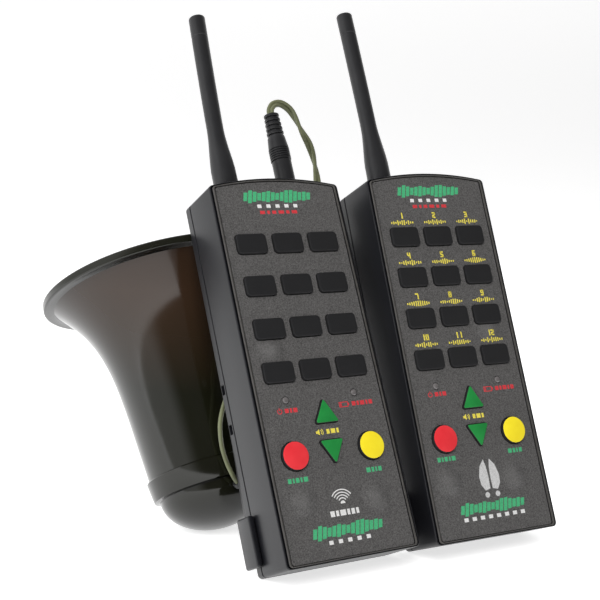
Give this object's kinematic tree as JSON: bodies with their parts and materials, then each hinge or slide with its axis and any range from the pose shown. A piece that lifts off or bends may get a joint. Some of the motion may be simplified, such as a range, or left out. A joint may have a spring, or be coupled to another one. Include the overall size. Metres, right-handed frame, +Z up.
{
  "type": "electronic game caller",
  "caption": "Electronic game caller set: two leaning handsets with rubber antennas and raised keys, and a flared horn speaker on a thin twisted cord plugged into one of them.",
  "frame": {"origin": "middle of the bounding box's base on the surface that the set stands on, the cord left out", "axes": "+Z up, the handsets' faces look towards -Y and lean back, +X to the right as seen from in front"},
  "size_m": [0.2106, 0.2167, 0.2696],
  "materials": {
    "case_black": "fine-textured moulded ABS, satin",
    "label_grey": "speckled printed polycarbonate overlay, satin",
    "key_black": "soft-touch moulded keycap",
    "key_red": "satin moulded keycap",
    "key_yellow": "satin moulded keycap",
    "key_green": "satin moulded keycap",
    "lamp_red": "clear tinted lens, unlit",
    "board_green": "solder mask",
    "battery_silver": "printed metal can",
    "rubber_black": "matt moulded rubber",
    "jack_metal": "nickel plated",
    "horn_olive": "glossy moulded olive ABS",
    "magnet_grey": "sintered ferrite and plated steel",
    "cone_grey": "matt pressed cone",
    "cord_olive": "vinyl-insulated twisted pair"
  },
  "bodies": {
    "receiver_and_horn": {"receiver_front_shell": "case_black", "receiver_back_shell": "case_black", "receiver_face_label": "label_grey", "receiver_circuit_board": "board_green", "receiver_battery": "battery_silver", "receiver_power_lamp": "lamp_red", "receiver_low_battery_lamp": "lamp_red", "receiver_speaker_jack": "jack_metal", "horn_bell": "horn_olive", "driver_housing": "horn_olive", "speaker_cone": "cone_grey", "driver_magnet": "magnet_grey", "cord_gland": "rubber_black", "cord_run": "cord_olive"},
    "transmitter": {"transmitter_front_shell": "case_black", "transmitter_back_shell": "case_black", "transmitter_face_label": "label_grey", "transmitter_circuit_board": "board_green", "transmitter_battery": "battery_silver", "transmitter_power_lamp": "lamp_red", "transmitter_low_battery_lamp": "lamp_red"},
    "receiver_call_key_01": {"receiver_call_key_01": "key_black"},
    "receiver_call_key_02": {"receiver_call_key_02": "key_black"},
    "receiver_call_key_03": {"receiver_call_key_03": "key_black"},
    "receiver_call_key_04": {"receiver_call_key_04": "key_black"},
    "receiver_call_key_05": {"receiver_call_key_05": "key_black"},
    "receiver_call_key_06": {"receiver_call_key_06": "key_black"},
    "receiver_call_key_07": {"receiver_call_key_07": "key_black"},
    "receiver_call_key_08": {"receiver_call_key_08": "key_black"},
    "receiver_call_key_09": {"receiver_call_key_09": "key_black"},
    "receiver_call_key_10": {"receiver_call_key_10": "key_black"},
    "receiver_call_key_11": {"receiver_call_key_11": "key_black"},
    "receiver_call_key_12": {"receiver_call_key_12": "key_black"},
    "receiver_on_off_key": {"receiver_on_off_key": "key_red"},
    "receiver_mute_key": {"receiver_mute_key": "key_yellow"},
    "receiver_volume_up_key": {"receiver_volume_up_key": "key_green"},
    "receiver_volume_down_key": {"receiver_volume_down_key": "key_green"},
    "receiver_battery_door": {"receiver_battery_door": "case_black"},
    "receiver_antenna": {"receiver_antenna": "rubber_black"},
    "transmitter_call_key_01": {"transmitter_call_key_01": "key_black"},
    "transmitter_call_key_02": {"transmitter_call_key_02": "key_black"},
    "transmitter_call_key_03": {"transmitter_call_key_03": "key_black"},
    "transmitter_call_key_04": {"transmitter_call_key_04": "key_black"},
    "transmitter_call_key_05": {"transmitter_call_key_05": "key_black"},
    "transmitter_call_key_06": {"transmitter_call_key_06": "key_black"},
    "transmitter_call_key_07": {"transmitter_call_key_07": "key_black"},
    "transmitter_call_key_08": {"transmitter_call_key_08": "key_black"},
    "transmitter_call_key_09": {"transmitter_call_key_09": "key_black"},
    "transmitter_call_key_10": {"transmitter_call_key_10": "key_black"},
    "transmitter_call_key_11": {"transmitter_call_key_11": "key_black"},
    "transmitter_call_key_12": {"transmitter_call_key_12": "key_black"},
    "transmitter_on_off_key": {"transmitter_on_off_key": "key_red"},
    "transmitter_mute_key": {"transmitter_mute_key": "key_yellow"},
    "transmitter_volume_up_key": {"transmitter_volume_up_key": "key_green"},
    "transmitter_volume_down_key": {"transmitter_volume_down_key": "key_green"},
    "transmitter_battery_door": {"transmitter_battery_door": "case_black"},
    "transmitter_antenna": {"transmitter_antenna": "rubber_black"},
    "cord_plug": {"cord_plug": "rubber_black"}
  },
  "joints": [
    {"name": "transmitter_lift_off", "type": "slide", "parent": "receiver_and_horn", "child": "transmitter", "axis": [0, 0, 1], "range_m": [0, 0.3]},
    {"name": "receiver_call_key_01_press", "type": "slide", "parent": "receiver_and_horn", "child": "receiver_call_key_01", "axis": [0, 0.9063, -0.4226], "range_m": [0, 0.0008], "stiffness_N_per_m": 300, "springref_m": -0.001},
    {"name": "receiver_call_key_02_press", "type": "slide", "parent": "receiver_and_horn", "child": "receiver_call_key_02", "axis": [0, 0.9063, -0.4226], "range_m": [0, 0.0008], "stiffness_N_per_m": 300, "springref_m": -0.001},
    {"name": "receiver_call_key_03_press", "type": "slide", "parent": "receiver_and_horn", "child": "receiver_call_key_03", "axis": [0, 0.9063, -0.4226], "range_m": [0, 0.0008], "stiffness_N_per_m": 300, "springref_m": -0.001},
    {"name": "receiver_call_key_04_press", "type": "slide", "parent": "receiver_and_horn", "child": "receiver_call_key_04", "axis": [0, 0.9063, -0.4226], "range_m": [0, 0.0008], "stiffness_N_per_m": 300, "springref_m": -0.001},
    {"name": "receiver_call_key_05_press", "type": "slide", "parent": "receiver_and_horn", "child": "receiver_call_key_05", "axis": [0, 0.9063, -0.4226], "range_m": [0, 0.0008], "stiffness_N_per_m": 300, "springref_m": -0.001},
    {"name": "receiver_call_key_06_press", "type": "slide", "parent": "receiver_and_horn", "child": "receiver_call_key_06", "axis": [0, 0.9063, -0.4226], "range_m": [0, 0.0008], "stiffness_N_per_m": 300, "springref_m": -0.001},
    {"name": "receiver_call_key_07_press", "type": "slide", "parent": "receiver_and_horn", "child": "receiver_call_key_07", "axis": [0, 0.9063, -0.4226], "range_m": [0, 0.0008], "stiffness_N_per_m": 300, "springref_m": -0.001},
    {"name": "receiver_call_key_08_press", "type": "slide", "parent": "receiver_and_horn", "child": "receiver_call_key_08", "axis": [0, 0.9063, -0.4226], "range_m": [0, 0.0008], "stiffness_N_per_m": 300, "springref_m": -0.001},
    {"name": "receiver_call_key_09_press", "type": "slide", "parent": "receiver_and_horn", "child": "receiver_call_key_09", "axis": [0, 0.9063, -0.4226], "range_m": [0, 0.0008], "stiffness_N_per_m": 300, "springref_m": -0.001},
    {"name": "receiver_call_key_10_press", "type": "slide", "parent": "receiver_and_horn", "child": "receiver_call_key_10", "axis": [0, 0.9063, -0.4226], "range_m": [0, 0.0008], "stiffness_N_per_m": 300, "springref_m": -0.001},
    {"name": "receiver_call_key_11_press", "type": "slide", "parent": "receiver_and_horn", "child": "receiver_call_key_11", "axis": [0, 0.9063, -0.4226], "range_m": [0, 0.0008], "stiffness_N_per_m": 300, "springref_m": -0.001},
    {"name": "receiver_call_key_12_press", "type": "slide", "parent": "receiver_and_horn", "child": "receiver_call_key_12", "axis": [0, 0.9063, -0.4226], "range_m": [0, 0.0008], "stiffness_N_per_m": 300, "springref_m": -0.001},
    {"name": "receiver_on_off_key_press", "type": "slide", "parent": "receiver_and_horn", "child": "receiver_on_off_key", "axis": [0, 0.9063, -0.4226], "range_m": [0, 0.0008], "stiffness_N_per_m": 300, "springref_m": -0.001},
    {"name": "receiver_mute_key_press", "type": "slide", "parent": "receiver_and_horn", "child": "receiver_mute_key", "axis": [0, 0.9063, -0.4226], "range_m": [0, 0.0008], "stiffness_N_per_m": 300, "springref_m": -0.001},
    {"name": "receiver_volume_up_key_press", "type": "slide", "parent": "receiver_and_horn", "child": "receiver_volume_up_key", "axis": [0, 0.9063, -0.4226], "range_m": [0, 0.0008], "stiffness_N_per_m": 300, "springref_m": -0.001},
    {"name": "receiver_volume_down_key_press", "type": "slide", "parent": "receiver_and_horn", "child": "receiver_volume_down_key", "axis": [0, 0.9063, -0.4226], "range_m": [0, 0.0008], "stiffness_N_per_m": 300, "springref_m": -0.001},
    {"name": "receiver_battery_door_slide", "type": "slide", "parent": "receiver_and_horn", "child": "receiver_battery_door", "axis": [0, 0.4226, 0.9063], "range_m": [0, 0.014]},
    {"name": "receiver_antenna_unscrew", "type": "hinge", "parent": "receiver_and_horn", "child": "receiver_antenna", "pos_m": [-0.03425, -0.01242, 0.17535], "axis": [0, 0.4226, 0.9063], "continuous": true},
    {"name": "transmitter_call_key_01_press", "type": "slide", "parent": "transmitter", "child": "transmitter_call_key_01", "axis": [0.0372, 0.9251, -0.3778], "range_m": [0, 0.0008], "stiffness_N_per_m": 300, "springref_m": -0.001},
    {"name": "transmitter_call_key_02_press", "type": "slide", "parent": "transmitter", "child": "transmitter_call_key_02", "axis": [0.0372, 0.9251, -0.3778], "range_m": [0, 0.0008], "stiffness_N_per_m": 300, "springref_m": -0.001},
    {"name": "transmitter_call_key_03_press", "type": "slide", "parent": "transmitter", "child": "transmitter_call_key_03", "axis": [0.0372, 0.9251, -0.3778], "range_m": [0, 0.0008], "stiffness_N_per_m": 300, "springref_m": -0.001},
    {"name": "transmitter_call_key_04_press", "type": "slide", "parent": "transmitter", "child": "transmitter_call_key_04", "axis": [0.0372, 0.9251, -0.3778], "range_m": [0, 0.0008], "stiffness_N_per_m": 300, "springref_m": -0.001},
    {"name": "transmitter_call_key_05_press", "type": "slide", "parent": "transmitter", "child": "transmitter_call_key_05", "axis": [0.0372, 0.9251, -0.3778], "range_m": [0, 0.0008], "stiffness_N_per_m": 300, "springref_m": -0.001},
    {"name": "transmitter_call_key_06_press", "type": "slide", "parent": "transmitter", "child": "transmitter_call_key_06", "axis": [0.0372, 0.9251, -0.3778], "range_m": [0, 0.0008], "stiffness_N_per_m": 300, "springref_m": -0.001},
    {"name": "transmitter_call_key_07_press", "type": "slide", "parent": "transmitter", "child": "transmitter_call_key_07", "axis": [0.0372, 0.9251, -0.3778], "range_m": [0, 0.0008], "stiffness_N_per_m": 300, "springref_m": -0.001},
    {"name": "transmitter_call_key_08_press", "type": "slide", "parent": "transmitter", "child": "transmitter_call_key_08", "axis": [0.0372, 0.9251, -0.3778], "range_m": [0, 0.0008], "stiffness_N_per_m": 300, "springref_m": -0.001},
    {"name": "transmitter_call_key_09_press", "type": "slide", "parent": "transmitter", "child": "transmitter_call_key_09", "axis": [0.0372, 0.9251, -0.3778], "range_m": [0, 0.0008], "stiffness_N_per_m": 300, "springref_m": -0.001},
    {"name": "transmitter_call_key_10_press", "type": "slide", "parent": "transmitter", "child": "transmitter_call_key_10", "axis": [0.0372, 0.9251, -0.3778], "range_m": [0, 0.0008], "stiffness_N_per_m": 300, "springref_m": -0.001},
    {"name": "transmitter_call_key_11_press", "type": "slide", "parent": "transmitter", "child": "transmitter_call_key_11", "axis": [0.0372, 0.9251, -0.3778], "range_m": [0, 0.0008], "stiffness_N_per_m": 300, "springref_m": -0.001},
    {"name": "transmitter_call_key_12_press", "type": "slide", "parent": "transmitter", "child": "transmitter_call_key_12", "axis": [0.0372, 0.9251, -0.3778], "range_m": [0, 0.0008], "stiffness_N_per_m": 300, "springref_m": -0.001},
    {"name": "transmitter_on_off_key_press", "type": "slide", "parent": "transmitter", "child": "transmitter_on_off_key", "axis": [0.0372, 0.9251, -0.3778], "range_m": [0, 0.0008], "stiffness_N_per_m": 300, "springref_m": -0.001},
    {"name": "transmitter_mute_key_press", "type": "slide", "parent": "transmitter", "child": "transmitter_mute_key", "axis": [0.0372, 0.9251, -0.3778], "range_m": [0, 0.0008], "stiffness_N_per_m": 300, "springref_m": -0.001},
    {"name": "transmitter_volume_up_key_press", "type": "slide", "parent": "transmitter", "child": "transmitter_volume_up_key", "axis": [0.0372, 0.9251, -0.3778], "range_m": [0, 0.0008], "stiffness_N_per_m": 300, "springref_m": -0.001},
    {"name": "transmitter_volume_down_key_press", "type": "slide", "parent": "transmitter", "child": "transmitter_volume_down_key", "axis": [0.0372, 0.9251, -0.3778], "range_m": [0, 0.0008], "stiffness_N_per_m": 300, "springref_m": -0.001},
    {"name": "transmitter_battery_door_slide", "type": "slide", "parent": "transmitter", "child": "transmitter_battery_door", "axis": [0.0152, 0.3775, 0.9259], "range_m": [0, 0.014]},
    {"name": "transmitter_antenna_unscrew", "type": "hinge", "parent": "transmitter", "child": "transmitter_antenna", "pos_m": [0.04918, -0.02262, 0.17828], "axis": [0.0152, 0.3775, 0.9259], "continuous": true},
    {"name": "cord_plug_pull", "type": "slide", "parent": "receiver_and_horn", "child": "cord_plug", "axis": [0, 0.4226, 0.9063], "range_m": [0, 0.016], "deforming": ["cord_run"]}
  ]
}
